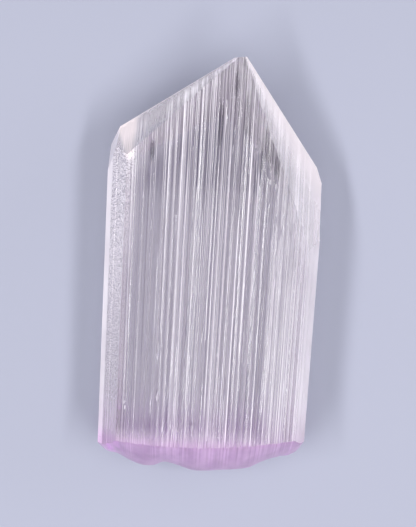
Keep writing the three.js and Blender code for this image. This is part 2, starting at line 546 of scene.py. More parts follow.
CRESTS = (
    Crest(-12.5, 0.1, -7, -30, 12),
    Crest(-10.9, 0.12, 12, -22, 18),
    Crest(-9.2, 0.12, -13, -31, 22),
    Crest(-8.2, 0.12, -12, -24, 6),
    Crest(-7.3, 0.11, 17, -12, 24),
    Crest(-6.1, 0.16, -16, -27, 27),
    Crest(-5.0, 0.18, -17, -18, 29),
    Crest(-4.15, 0.2, -17, -29, 20),
    Crest(-3.4, 0.14, 17, -16, 12),
    Crest(-2.2, 0.12, -17, -30, 26),
    Crest(-1.45, 0.22, -18, -27, 14),
    Crest(-0.3, 0.14, 17, -12, 30),
    Crest(0.55, 0.18, -18, -26, 22),
    Crest(1.3, 0.23, -18, -29, 31),
    Crest(2.0, 0.12, 17, -22, 24),
    Crest(3.4, 0.22, -19, -30, 21),
    Crest(4.1, 0.19, -19, -31, 12),
    Crest(5.2, 0.2, 16, -30, 25),
    Crest(6.7, 0.14, -19, -8, 22),
    Crest(8.85, 0.16, 16, -27, 12),
    Crest(10.2, 0.14, -20, -30, 4),
    Crest(11.2, 0.15, 16, -29, 8),
    Crest(12.3, 0.14, -20, -31, 5),
    Crest(13.7, 0.14, 15, -30, 6),
)
FRONT_THIN = ThinCrests(52, 13.2, 34.0, 3100).spread()
BACK_THIN = ThinCrests(40, 12.4, 26.0, 2200).spread()

ARCHES = (
    Arch(7.9, 17.5, 0.62, 0.2),
    Arch(9.6, 13.3, 0.4, 0.16),
    Arch(12.3, 12.1, 0.66, 0.2),
    Arch(10.6, 8.3, 0.5, 0.18),
    Arch(5.9, 21.5, 0.4, 0.14),
)
BACK_ARCHES = (
    Arch(-8.3, 9.5, 0.6, 0.18),
    Arch(-2.4, 14.0, 0.5, 0.15),
    Arch(3.9, 12.5, 0.7, 0.2),
    Arch(8.1, 4.0, 0.5, 0.16),
)

CHIPS = (
    Chip((7.9, 17.6, 11.12), (0.8, 2.6, 0.42), 10),
    Chip((9.2, 16.1, 11.14), (0.5, 1.8, 0.4), -8),
    Chip((6.7, 20.6, 11.12), (0.45, 1.5, 0.34), 4),
    Chip((10.5, 8.5, 11.1), (0.5, 0.9, 0.3), 20),
    Chip((-7.3, -19.2, 11.1), (0.26, 1.0, 0.25), -14),
    Chip((-7.4, -11.9, 11.1), (0.26, 1.2, 0.25), -10),
    Chip((-12.3, -21.1, 11.1), (0.26, 0.7, 0.25), 6),
    Chip((-5.7, -25.2, 11.1), (0.34, 0.6, 0.22), 18),
)

# Spots of painted shade, where the crystal is made darker in colour.
PAINTED_SHADE_SPOTS = (
    PaintedShadeSpot(7.4, 21.2, 0.6, 3.0),
    PaintedShadeSpot(8.3, 19.9, 0.6, 2.8),
    PaintedShadeSpot(9.3, 18.2, 0.6, 2.6),
    PaintedShadeSpot(6.8, 18.6, 0.4, 2.6),
    PaintedShadeSpot(2.4, 30.0, 0.5, 2.4),
    PaintedShadeSpot(4.2, 25.5, 0.5, 4.0),
    PaintedShadeSpot(-9.8, 19.6, 0.45, 2.2),
    PaintedShadeSpot(0.4, 24.0, 0.4, 4.0),
)


def value_noise(place: np.ndarray, seed: np.ndarray) -> np.ndarray:
    """Smooth random curve through a repeatable value at each whole place, from 0 to 1.

    Args:
        place: Places along the curve.
        seed: A number for each curve, broadcast against place.

    Returns:
        The curve's values.
    """
    cell = np.floor(place)
    t = smooth_step(0.0, 1.0, place - cell)
    return scatter(cell + seed) * (1 - t) + scatter(cell + 1 + seed) * t


def portions(gap: np.ndarray, columns: int) -> np.ndarray:
    """Shares columns out over gaps in proportion to their widths, at first with one or more for each.

    Args:
        gap: The gaps' widths.
        columns: How many columns there are in all.

    Returns:
        How many columns each gap gets.
    """
    ideal = gap / gap.sum() * columns
    pieces = np.maximum(1, np.floor(ideal)).astype(int)
    spare = columns - pieces.sum()
    if spare > 0:
        pieces[np.argsort(pieces - ideal)[:spare]] += 1
    elif spare < 0:
        pieces[np.argsort(ideal - pieces)[:-spare]] -= 1
    return pieces


@dataclass(frozen=True)
class Striation:
    """One face's columns: shares of its width, their depth, and which growth ledge each belongs to."""

    share: np.ndarray
    depth: np.ndarray
    ledge: np.ndarray

    @classmethod
    def grow(cls, ledges: Ledges | None, columns: int, fine: float, seed: int) -> "Striation":
        """Splits a face's ledges into fine columns.

        Each column sinks by fine times a random number cubed, so most stay shallow.

        Args:
            ledges: The ledges, or None for a face that has only fine columns.
            columns: How many columns to end with.
            fine: The deepest fine column.
            seed: Sets the fine columns apart from other faces'.

        Returns:
            The face's columns from its first corner up to but without its last.
        """
        breaks, depths = (np.array([0.0, 1.0]), np.zeros(2)) if ledges is None else ledges.outline()
        gap = np.diff(breaks)
        pieces = portions(gap, columns)
        ledge = np.repeat(np.arange(len(gap)), pieces)
        within = (np.arange(columns) - np.repeat(np.cumsum(pieces) - pieces, pieces)) / pieces[ledge]
        share = breaks[ledge] + gap[ledge] * within
        depth = depths[ledge] * (1 - within) + depths[ledge + 1] * within
        rough = fine * scatter(seed + np.arange(columns)) ** 3
        rough[0] = 0.0
        return cls(share, depth + rough, ledge)


@dataclass(frozen=True)
class EndRelief:
    """Fine relief of the tip's large faces: the blade's grooves run on into them and fade out."""

    across: float = 0.2
    along: float = 0.55
    margin: float = 0.07
    groove: float = 0.15
    ramp: float = 0.5
    merging: float = 1e-9

    def inside(self, points: np.ndarray, rim: np.ndarray) -> np.ndarray:
        """Tells which points are inside the rim: a ray towards +x crosses it an odd number of times.

        Args:
            points: Flat points as rows of two.
            rim: The rim's corners in order, as rows of two.

        Returns:
            True or False for each point.
        """
        after = np.roll(rim, -1, axis=0)
        u, v = points[:, None, 0], points[:, None, 1]
        spans = (rim[:, 1] > v) != (after[:, 1] > v)
        rise = np.where(after[:, 1] == rim[:, 1], 1.0, after[:, 1] - rim[:, 1])
        crossing = rim[:, 0] + (v - rim[:, 1]) / rise * (after[:, 0] - rim[:, 0])
        return ((spans & (u < crossing)).sum(1) % 2) == 1

    def distance(self, points: np.ndarray, rim: np.ndarray) -> np.ndarray:
        """Gives the distance to the nearest stretch of the rim.

        Args:
            points: Flat points as rows of two.
            rim: The rim's corners in order.

        Returns:
            One distance for each point.
        """
        stretch = np.roll(rim, -1, axis=0) - rim
        offset = points[:, None] - rim
        share = (offset * stretch).sum(-1) / np.maximum((stretch * stretch).sum(-1), TINY)
        return np.linalg.norm(offset - np.clip(share, 0, 1)[..., None] * stretch, axis=-1).min(1)

    def grid(self, rim: np.ndarray) -> tuple[np.ndarray, np.ndarray]:
        """Gives the grid's points that are inside a flat rim and keep clear of it.

        Args:
            rim: The rim's corners in order, as rows of two.

        Returns:
            The points as rows of two, and the distance of each to the rim.
        """
        low, high = rim.min(0), rim.max(0)
        u, v = np.meshgrid(np.arange(low[0], high[0], self.across), np.arange(low[1], high[1], self.along))
        grid = np.stack([u.ravel(), v.ravel()], 1)
        grid = grid[self.inside(grid, rim)]
        away = self.distance(grid, rim)
        clear = away > self.margin
        return grid[clear], away[clear]

    def join(self, points: np.ndarray, corners: int) -> np.ndarray:
        """Joins flat points into triangles.

        Args:
            points: The points as rows of two, the rim's corners first.
            corners: How many corners the rim has.

        Returns:
            The triangles as rows of three point numbers.
        """
        border = [(i, (i + 1) % corners) for i in range(corners)]
        result = delaunay_2d_cdt([*map(Vector, points.tolist())], border, [], 1, self.merging)
        origin = np.array([first[0] for first in result[3]])
        return origin[np.array(result[2])]

    def refine(
        self, rim: np.ndarray, normal: np.ndarray, grooves: tuple[np.ndarray, np.ndarray]
    ) -> tuple[np.ndarray, np.ndarray]:
        """Fills a flat face with a fine grid of triangles, sunk along the grooves.

        Grid columns keep x constant, so a groove of the broad face runs straight on. A point sinks by
        groove times that face's depth at its x, times a ramp up from the rim.

        Args:
            rim: The face's corners in order, in millimetres.
            normal: The face's outward direction.
            grooves: Places of the broad face's columns, rising, and their depths.

        Returns:
            The inner points, and triangles that count the rim's corners first and then those.
        """
        along = np.array([0.0, normal[2], -normal[1]])
        along /= np.linalg.norm(along)
        across = np.cross(along, normal)
        flat = np.stack([(rim - rim[0]) @ across, (rim - rim[0]) @ along], 1)
        grid, away = self.grid(flat)
        points = rim[0] + grid[:, :1] * across + grid[:, 1:] * along
        sunk = self.groove * np.interp(points[:, 0], *grooves) * smooth_step(0.0, self.ramp, away)
        points = points - sunk[:, None] * normal
        triangles = self.join(np.concatenate([flat, grid]), len(rim))
        corners = np.concatenate([rim, points])[triangles]
        facing = np.cross(corners[:, 1] - corners[:, 0], corners[:, 2] - corners[:, 0]) @ normal
        triangles[facing < 0] = triangles[facing < 0][:, ::-1]
        return points, triangles


@dataclass
class CrystalBody:
    """The crystal's closed surface: a striated prism on a grid, broken at the base and cut at the tip."""

    blade: Blade
    fracture: Fracture = field(default_factory=Fracture)
    termination: Termination = field(default_factory=Termination)
    relief: EndRelief = field(default_factory=EndRelief)
    rows: int = 70
    row_samples: int = 2000
    denser_rows: tuple[Triple, ...] = ((1.6, 0.74, 0.08), (1.2, 0.06, 0.08))
    wall_columns: int = 32
    large_rim: int = 12
    end_margin: float = 2.2
    break_facing: float = -0.3
    cut_merging: float = 1e-7
    ledge_numbers: int = 100
    swell_length: float = 60.0
    swell_share: float = 0.15
    swell_seed: float = 13.0
    relief_x: tuple[float, ...] = (-14.0, -10.5, -7.5, -4.5, 6.5, 8.0, 14.0)
    relief_share: tuple[float, ...] = (0.28, 0.36, 0.5, 1.0, 1.0, 0.75, 0.8)

    def layout(self) -> dict[Face, Striation]:
        """Gives each face its ledges (count, depth, seed), columns, deepest fine column and seed.

        The faces of the front add up to as many columns as those of the back.

        Returns:
            The columns of every face.
        """
        walls = self.wall_columns
        return {
            Face.FRONT_LEFT_BEVEL: Striation.grow(Ledges(7, 0.16, 641), 40, 0.04, 5000),
            Face.FRONT: Striation.grow(Ledges(58, 0.26, 11), 382, 0.05, 5100),
            Face.FRONT_RIGHT_BEVEL: Striation.grow(None, 22, 0.04, 5500),
            Face.RIGHT: Striation.grow(Ledges(9, 0.2, 907), walls, 0.05, 5600),
            Face.BACK_RIGHT_BEVEL: Striation.grow(Ledges(7, 0.16, 601), 36, 0.05, 5700),
            Face.BACK: Striation.grow(Ledges(46, 0.22, 307), 368, 0.05, 5800),
            Face.BACK_LEFT_BEVEL: Striation.grow(Ledges(7, 0.16, 681), 40, 0.05, 6200),
            Face.LEFT: Striation.grow(Ledges(9, 0.2, 947), walls, 0.05, 6300),
        }

    def grooves(self) -> tuple[np.ndarray, np.ndarray]:
        """Gives the grooves of the broad front face.

        Returns:
            The places of its columns across the blade, rising, and their depths.
        """
        columns = self.layout()[Face.FRONT]
        corner = self.blade.corners()
        reach = corner[Face.FRONT_RIGHT_BEVEL][0] - corner[Face.FRONT][0]
        return corner[Face.FRONT][0] + columns.share * reach, columns.depth

    def section(self) -> dict[str, np.ndarray]:
        """Works out the ring round the section, column by column.

        Returns:
            Arrays of one value for each column: x and z of the flat face, its inward direction,
            its depth, its ledge's number and its face's number.
        """
        parts = {"place": [], "inward": [], "depth": [], "ledge": [], "face": []}
        for (face, striation), start, along in zip(self.layout().items(), *self.blade.sides()):
            inward = np.array([along[1], -along[0]]) / np.hypot(*along)
            count = len(striation.share)
            parts["place"].append(start + striation.share[:, None] * along)
            parts["inward"].append(np.tile(inward, (count, 1)))
            parts["depth"].append(striation.depth)
            parts["ledge"].append(striation.ledge + self.ledge_numbers * face.value)
            parts["face"].append(np.full(count, face.value))
        return {name: np.concatenate(arrays) for name, arrays in parts.items()}

    def row_shares(self) -> np.ndarray:
        """Spaces the rows along the blade: closer where there are chips and at the base.

        The rows are even steps of a running total of density, which is 1 plus a bell curve for each
        of denser_rows: how much denser, where, and how far it reaches.

        Returns:
            Shares of the length from 0 to 1, one for each row.
        """
        t = np.linspace(0, 1, self.row_samples)
        density = np.ones_like(t)
        for more, at, reach in self.denser_rows:
            density = density + more * np.exp(-(((t - at) / reach) ** 2))
        total = np.cumsum(density)
        total = (total - total[0]) / (total[-1] - total[0])
        return np.interp(np.linspace(0, 1, self.rows), total, t)

    def grid(self) -> tuple[np.ndarray, dict[str, np.ndarray]]:
        """Places the prism's grid: rows along the blade by columns round its section.

        A column is straight and runs lengthwise from the fracture to past the tip. Its depth is its
        ledge's depth, which swells and fades slowly along the blade, plus the ridges' grooves and
        the arches on the two broad faces, and at least a chip's depth on the front.

        Returns:
            Points as rows by columns by three, and the section's arrays.
        """
        ring = self.section()
        x, z = ring["place"].T
        bottom = self.fracture.height(x, z, self.blade.thickness) + self.blade.base
        top = self.blade.length / 2 + self.end_margin
        y = bottom + (top - bottom) * self.row_shares()[:, None]
        swell = value_noise(y / self.swell_length, self.swell_seed * ring["ledge"])
        strength = np.interp(x, self.relief_x, self.relief_share)
        depth = ring["depth"] * (1.0 - self.swell_share * swell) * strength
        wide_x = np.broadcast_to(x, y.shape)
        front = back = depth
        for crest in CRESTS + FRONT_THIN:
            front = front + strength * crest.depth(wide_x, y)
        for arch in ARCHES:
            front = front + arch.depth(wide_x, y)
        for chip in CHIPS:
            front = np.maximum(front, chip.depth(wide_x, y, self.blade.thickness))
        for cut in BACK_THIN + BACK_ARCHES:
            back = back + cut.depth(wide_x, y)
        depth = np.where(ring["face"] == Face.BACK.value, back, depth)
        depth = np.where(ring["face"] == Face.FRONT.value, front, depth)
        place = ring["place"] + depth[..., None] * ring["inward"]
        return np.stack([place[..., 0], y, place[..., 1]], -1), ring

    def steps(self, y_at: float, blur: int) -> tuple[np.ndarray, np.ndarray]:
        """Measures how much the front's columns lean at one place along the blade.

        The lean is the arc tangent of a column's fall over its width, averaged over blur columns.

        Args:
            y_at: Where along the blade.
            blur: How many columns are averaged.

        Returns:
            The middle of each column, and its lean in degrees.
        """
        points, ring = self.grid()
        row = points[np.abs(points[:, 0, 1] - y_at).argmin(), ring["face"] == Face.FRONT.value]
        lean = np.degrees(np.arctan2(np.abs(np.diff(row[:, 2])), np.diff(row[:, 0])))
        return (row[1:, 0] + row[:-1, 0]) / 2, np.convolve(lean, np.full(blur, 1 / blur), "same")

    def base_cap(self, ring_points: np.ndarray, front: int) -> np.ndarray:
        """Places the fracture's inner grid between the front and back edges of its rim.

        A point at column j and row k lies k of the way from the front edge to the back edge, at the
        fracture's height there.

        Args:
            ring_points: The rim, one point for each column of the ring.
            front: How many columns the front faces have.

        Returns:
            The inner points, columns by rows by three.
        """
        walls = self.wall_columns
        j = np.arange(1, front)[:, None]
        k = np.arange(1, walls)[None, :]
        a = ring_points[j]
        b = ring_points[2 * front + walls - j]
        t = (k / walls)[..., None]
        points = a * (1 - t) + b * t
        height = self.fracture.height(points[..., 0], points[..., 2], self.blade.thickness)
        points[..., 1] = height + self.blade.base
        return points

    def uncut(self) -> tuple[np.ndarray, list[tuple[int, ...]]]:
        """Joins the prism's grid, the fracture and a flat lid past the tip into one closed surface.

        The fracture's grid is numbered with its rim, which is the prism's first row: the front
        faces along one side of it, then a wall, the back faces and the other wall.

        Returns:
            The points and the faces as tuples of point numbers.
        """
        points, ring = self.grid()
        rows, columns = points.shape[:2]
        front = int((ring["face"] < Face.RIGHT.value).sum())
        walls = self.wall_columns
        inner = self.base_cap(points[0], front)
        r, c = np.meshgrid(np.arange(rows - 1), np.arange(columns), indexing="ij")
        after = (c + 1) % columns
        around = ((r, c), (r + 1, c), (r + 1, after), (r, after))
        sides = np.stack([row * columns + column for row, column in around], -1).reshape(-1, 4)
        number = np.empty((front + 1, walls + 1), int)
        number[1:-1, 1:-1] = rows * columns + np.arange(inner[..., 0].size).reshape(inner.shape[:2])
        number[:, 0] = np.arange(front + 1)
        number[:, -1] = 2 * front + walls - np.arange(front + 1)
        number[-1, :] = front + np.arange(walls + 1)
        number[0, :] = (columns - np.arange(walls + 1)) % columns
        around = (number[:-1, :-1], number[1:, :-1], number[1:, 1:], number[:-1, 1:])
        base = np.stack(around, -1).reshape(-1, 4)
        lid = tuple(int(i) for i in (rows - 1) * columns + np.arange(columns)[::-1])
        everything = np.concatenate([points.reshape(-1, 3), inner.reshape(-1, 3)])
        return everything, [*map(tuple, sides.tolist()), *map(tuple, base.tolist()), lid]

    def mesh(self) -> bpy.types.Mesh:
        """Cuts the closed surface along every flat face of the tip and closes each cut with that face.

        Returns:
            The crystal's mesh in metres.
        """
        points, faces = self.uncut()
        mesh = bpy.data.meshes.new("crystal_surface")
        mesh.from_pydata(points.tolist(), [], faces)
        shape = bmesh.new()
        shape.from_mesh(mesh)
        bmesh.ops.recalc_face_normals(shape, faces=shape.faces)
        for face in self.termination.faces():
            cut = bmesh.ops.bisect_plane(
                shape,
                geom=shape.verts[:] + shape.edges[:] + shape.faces[:],
                dist=self.cut_merging,
                plane_co=face.point,
                plane_no=face.normal,
                clear_outer=True,
            )
            rim = [part for part in cut["geom_cut"] if isinstance(part, bmesh.types.BMEdge)]
            bmesh.ops.contextual_create(shape, geom=[edge for edge in rim if edge.is_boundary])
        bmesh.ops.recalc_face_normals(shape, faces=shape.faces)
        clipped = [face for face in shape.faces if 4 < len(face.verts) <= self.large_rim]
        bmesh.ops.triangulate(shape, faces=clipped)
        self.write(shape, mesh)
        return mesh

    def write(self, shape: bmesh.types.BMesh, mesh: bpy.types.Mesh) -> None:
        """Gives the tip's large faces their relief and writes the finished surface, in metres.

        Args:
            shape: The cut crystal, with each large face of the tip as one face. It is freed.
            mesh: Where the finished surface goes.
        """
        shape.verts.index_update()
        points = [np.array([vertex.co[:] for vertex in shape.verts])]
        total = len(shape.verts)
        small = [face for face in shape.faces if len(face.verts) <= self.large_rim]
        large = [face for face in shape.faces if len(face.verts) > self.large_rim]
        kept = [[vertex.index for vertex in face.verts] for face in small]
        smooth = [face.normal.y < self.break_facing for face in small]
        grooves = self.grooves()
        tip = []
        for face in large:
            rim = np.array([vertex.index for vertex in face.verts])
            inner, triangles = self.relief.refine(points[0][rim], np.array(face.normal), grooves)
            tip += np.concatenate([rim, total + np.arange(len(inner))])[triangles].tolist()
            points.append(inner)
            total += len(inner)
        shape.free()
        mesh.clear_geometry()
        mesh.from_pydata((np.concatenate(points) * MM).tolist(), [], kept + tip)
        mesh.polygons.foreach_set("use_smooth", np.array(smooth + [False] * len(tip)))
        end = mesh.attributes.new(TIP_FACES, "BOOLEAN", "FACE")
        end.data.foreach_set("value", np.array([False] * len(kept) + [True] * len(tip)))


class Flow:
    """One output socket of a shader, with Python's operators adding the nodes."""

    def __init__(self, shader: "Shader", socket: bpy.types.NodeSocket) -> None:
        """Wraps a socket.

        Args:
            shader: The shader that the socket is in.
            socket: An output socket.
        """
        self.shader = shader
        self.socket = socket

    def _math(self, operation: str, first: object, second: object) -> "Flow":
        """Adds a Math node on two values, numbers or sockets."""
        node = self.shader.node("ShaderNodeMath", {"operation": operation}, {0: first, 1: second})
        return Flow(self.shader, node.outputs[0])

    def __add__(self, other: object) -> "Flow":
        """Adds."""
        return self._math("ADD", self, other)

    __radd__ = __add__

    def __mul__(self, other: object) -> "Flow":
        """Multiplies."""
        return self._math("MULTIPLY", self, other)

    __rmul__ = __mul__

    def __sub__(self, other: object) -> "Flow":
        """Subtracts."""
        return self._math("SUBTRACT", self, other)

    def __rsub__(self, other: object) -> "Flow":
        """Subtracts this from a number."""
        return self._math("SUBTRACT", other, self)

    def rise(self, low: float, high: float) -> "Flow":
        """Rises smoothly from 0 where this is low to 1 where it is high.

        Args:
            low: Where the rise starts.
            high: Where it ends.

        Returns:
            The result from 0 to 1.
        """
        node = self.shader.node(
            "ShaderNodeMapRange",
            {"interpolation_type": "SMOOTHSTEP"},
            {"Value": self, "From Min": low, "From Max": high},
        )
        return Flow(self.shader, node.outputs["Result"])


@dataclass(frozen=True)
class Pattern:
    """A soft random pattern: waves per metre along each axis, finer layers, and its rise from 0 to 1."""

    scale: Triple
    layers: float
    low: float
    high: float


class Shader:
    """The node tree of one material."""

    def __init__(self, name: str) -> None:
        """Makes an empty material.

        Args:
            name: The material's name.
        """
        self.material = bpy.data.materials.new(name)
        self.material.use_nodes = True
        self.tree = self.material.node_tree
        self.tree.nodes.clear()

    def node(
        self,
        kind: str,
        settings: dict[str, object] | None = None,
        inputs: dict[object, object] | None = None,
    ) -> bpy.types.Node:
        """Adds a node, sets its settings first and then its sockets.

        Args:
            kind: The node's type.
            settings: Properties such as a Math node's operation.
            inputs: Values, sockets or Flows by socket name or number.

        Returns:
            The node.
        """
        node = self.tree.nodes.new(kind)
        for name, value in (settings or {}).items():
            setattr(node, name, value)
        for key, value in (inputs or {}).items():
            if isinstance(value, Flow):
                value = value.socket
            if isinstance(value, bpy.types.NodeSocket):
                self.tree.links.new(value, node.inputs[key])
            else:
                node.inputs[key].default_value = value
        return node

    def attribute(self, name: str) -> Flow:
        """Reads a number that the mesh carries.

        Args:
            name: The attribute's name.

        Returns:
            Its value.
        """
        node = self.node("ShaderNodeAttribute", {"attribute_name": name})
        return Flow(self, node.outputs["Fac"])

    def mix(self, first: object, second: object, factor: Flow) -> bpy.types.NodeSocket:
        """Mixes two colours.

        Args:
            first: The colour where the factor is 0: red, green and blue, or a socket.
            second: The colour where it is 1.
            factor: The share of the second colour.

        Returns:
            The mixed colour's socket.
        """
        colours = [(*c, 1.0) if isinstance(c, tuple) else c for c in (first, second)]
        node = self.node("ShaderNodeMix", {"data_type": "RGBA"}, {0: factor, 6: colours[0], 7: colours[1]})
        return node.outputs[2]

    def pattern(self, pattern: Pattern) -> Flow:
        """Adds a soft random pattern on Object coordinates.

        Args:
            pattern: Its sizes.

        Returns:
            The pattern from 0 to 1.
        """
        place = self.node("ShaderNodeTexCoord").outputs["Object"]
        stretched = self.node("ShaderNodeMapping", inputs={"Vector": place, "Scale": pattern.scale})
        noise = self.node("ShaderNodeTexNoise", inputs={
            "Vector": stretched.outputs["Vector"],
            "Scale": 1.0,
            "Detail": pattern.layers,
        })
        return Flow(self, noise.outputs["Fac"]).rise(pattern.low, pattern.high)


@dataclass(frozen=True)
class KunziteFinish:
    """Clear lilac crystal: glassy striated faces with a silky haze, frosted where it is etched."""

    refraction: float = 1.665
    absorbed: Triple = (0.78, 0.42, 0.85)
    density: float = 7.5
    clear: Triple = (0.98, 0.95, 1.0)
    lilac: Triple = (0.94, 0.66, 1.0)
    warm: Triple = (1.0, 0.89, 0.9)
    # Painted shade: dark grey mixed into the tint where the crystal is painted darker.
    painted_shade_colour: Triple = (0.25, 0.255, 0.28)
    lilac_bloom: Triple = (0.96, 0.68, 1.0)
    bloom: Triple = (0.91, 0.865, 0.93)
    clouds: Pattern = Pattern((420.0, 170.0, 420.0), 2.0, 0.25, 0.75)
    pits: Pattern = Pattern((8600.0, 7600.0, 8600.0), 0.0, 0.38, 0.56)
    threads: Pattern = Pattern((4300.0, 5.0, 0.0), 2.0, 0.46, 0.66)
    bands: Pattern = Pattern((900.0, 6.0, 0.0), 1.0, 0.35, 0.65)
    cloud_contrast: float = 0.3
    band_contrast: float = 0.5
    polish: float = 0.02
    satin: float = 0.1
    frosted: float = 0.42
    lilac_gloss: float = 0.6
    pit_roughness: float = 0.3
    bloom_roughness: float = 0.5
    haze: float = 0.04
    silk: float = 0.12
    frost_bloom: float = 0.5
    pit_bloom: float = 0.68
    warm_bloom: float = 0.42
    # Painted shade also takes away most of the bloom where it lies.
    painted_shade_cover: float = 0.85
    thread_gap: float = 0.6
    relief_strength: float = 0.3
    relief_height: float = 0.00003
    pit_height: float = 0.5

    def material(self) -> bpy.types.Material:
        """Builds the material: see-through crystal, mixed with a pale bloom where its surface scatters.

        The bloom's share is a thin haze plus one part for each kind of mark, the facet streaks among them
        partly painted highlight lines, and less where shade is painted.

        Returns:
            The crystal's material.
        """
        shader = Shader(SLOT)
        frost, blush, warmth = (shader.attribute(name) for name in ("frost", "blush", "warmth"))
        threads = shader.pattern(self.threads)
        pitted = shader.attribute("speckle") * shader.pattern(self.pits)
        veil = shader.attribute("veil") * threads
        # Painted shade, broken up by the threads.
        painted_shade = shader.attribute("painted_shade") * (1.0 - threads * self.thread_gap)
        banded = shader.pattern(self.bands) * self.band_contrast + (1.0 - self.band_contrast)
        cloudy = shader.pattern(self.clouds) * self.cloud_contrast + (1.0 - self.cloud_contrast / 2)
        bump = shader.node("ShaderNodeBump", inputs={
            "Strength": self.relief_strength,
            "Distance": self.relief_height,
            "Height": threads + pitted * self.pit_height,
        })
        matt = frost * (1.0 - blush * self.lilac_gloss)
        tint = shader.mix(shader.mix(self.clear, self.lilac, blush), self.warm, warmth)
        crystal = shader.node("ShaderNodeBsdfPrincipled", inputs={
            "Base Color": shader.mix(tint, self.painted_shade_colour, painted_shade),
            "Transmission Weight": 1.0,
            "IOR": self.refraction,
            "Roughness": self.polish + veil * self.satin + matt * self.frosted + pitted * self.pit_roughness,
            "Normal": bump.outputs["Normal"],
        })
        bloom = shader.node("ShaderNodeBsdfPrincipled", inputs={
            "Base Color": shader.mix(shader.mix(self.bloom, self.lilac_bloom, blush), self.warm, warmth),
            "Roughness": self.bloom_roughness,
            "Normal": bump.outputs["Normal"],
        })
        # The bloom on steep facets is partly real scatter of growth steps and partly painted highlight
        # lines.
        share = self.haze + shader.attribute("scatter_and_highlight") * banded + veil * self.silk
        share = share + frost * cloudy * self.frost_bloom + warmth * self.warm_bloom
        share = (share + pitted * self.pit_bloom) * (1.0 - painted_shade * self.painted_shade_cover)
        surface = shader.node(
            "ShaderNodeMixShader", inputs={0: share, 1: crystal.outputs["BSDF"], 2: bloom.outputs["BSDF"]}
        )
        volume = shader.node("ShaderNodeVolumeAbsorption", inputs={
            "Color": (*self.absorbed, 1.0),
            "Density": self.density,
        })
        shader.node("ShaderNodeOutputMaterial", inputs={
            "Surface": surface.outputs["Shader"],
            "Volume": volume.outputs["Volume"],
        })
        return shader.material


def read(group: bpy.types.bpy_prop_collection, name: str, width: int = 1, kind: type = float) -> np.ndarray:
    """Reads one property of a whole group of mesh parts.

    Args:
        group: The group, such as a mesh's vertices.
        name: The property.
        width: How many values each part has.
        kind: The values' type.

    Returns:
        One value for each part, or one row where it has more.
    """
    values = np.empty(len(group) * width, kind)
    group.foreach_get(name, values)
    return values.reshape(-1, width) if width > 1 else values


@dataclass(frozen=True)
class Facets:
    """The mesh's face corners: their places in millimetres, and what face each belongs to."""

    points: np.ndarray
    normals: np.ndarray
    flat: np.ndarray
    lean: np.ndarray
    on_tip: np.ndarray
    on_break: np.ndarray

    @classmethod
    def of(cls, mesh: bpy.types.Mesh, body: CrystalBody) -> "Facets":
        """Reads a mesh and finds the flat face of the section that each of its faces is nearest to.

        The distance is that from a face's centre to a side of the section, in x and z. The lean is
        the angle between the face and that flat face, in degrees.

        Args:
            mesh: The crystal's mesh.
            body: The shape that it was made from.

        Returns:
            One row or value for each corner.
        """
        normals = read(mesh.polygons, "normal", 3)
        centres = read(mesh.polygons, "center", 3) / MM
        on_tip = read(mesh.attributes[TIP_FACES].data, "value", kind=bool)
        start, side = body.blade.sides()
        offset = centres[:, None, [0, 2]] - start
        share = (offset * side).sum(-1) / (side * side).sum(-1)
        flat = np.linalg.norm(offset - np.clip(share, 0, 1)[..., None] * side, axis=-1).argmin(1)
        lean = np.degrees(np.arccos(np.clip((normals * body.blade.outward()[flat]).sum(1), -1, 1)))
        on_break = (normals[:, 1] < body.break_facing) & (centres[:, 1] < 0)
        corners = read(mesh.polygons, "loop_total", kind=int)
        values = (np.repeat(value, corners, axis=0) for value in (normals, flat, lean, on_tip, on_break))
        return cls(read(mesh.vertices, "co", 3)[read(mesh.loops, "vertex_index", kind=int)] / MM, *values)

    def on(self, *faces: Face) -> np.ndarray:
        """Tells whether each corner is on one of the named flat faces, and not on the tip or the break."""
        return np.isin(self.flat, [face.value for face in faces]) & ~self.on_tip & ~self.on_break

    def right(self) -> np.ndarray:
        """Tells whether each corner's face looks to the right."""
        return self.normals[:, 0] > 0

    def upward(self) -> np.ndarray:
        """Tells whether each corner's face looks up, to the front of the crystal."""
        return self.normals[:, 2] > 0


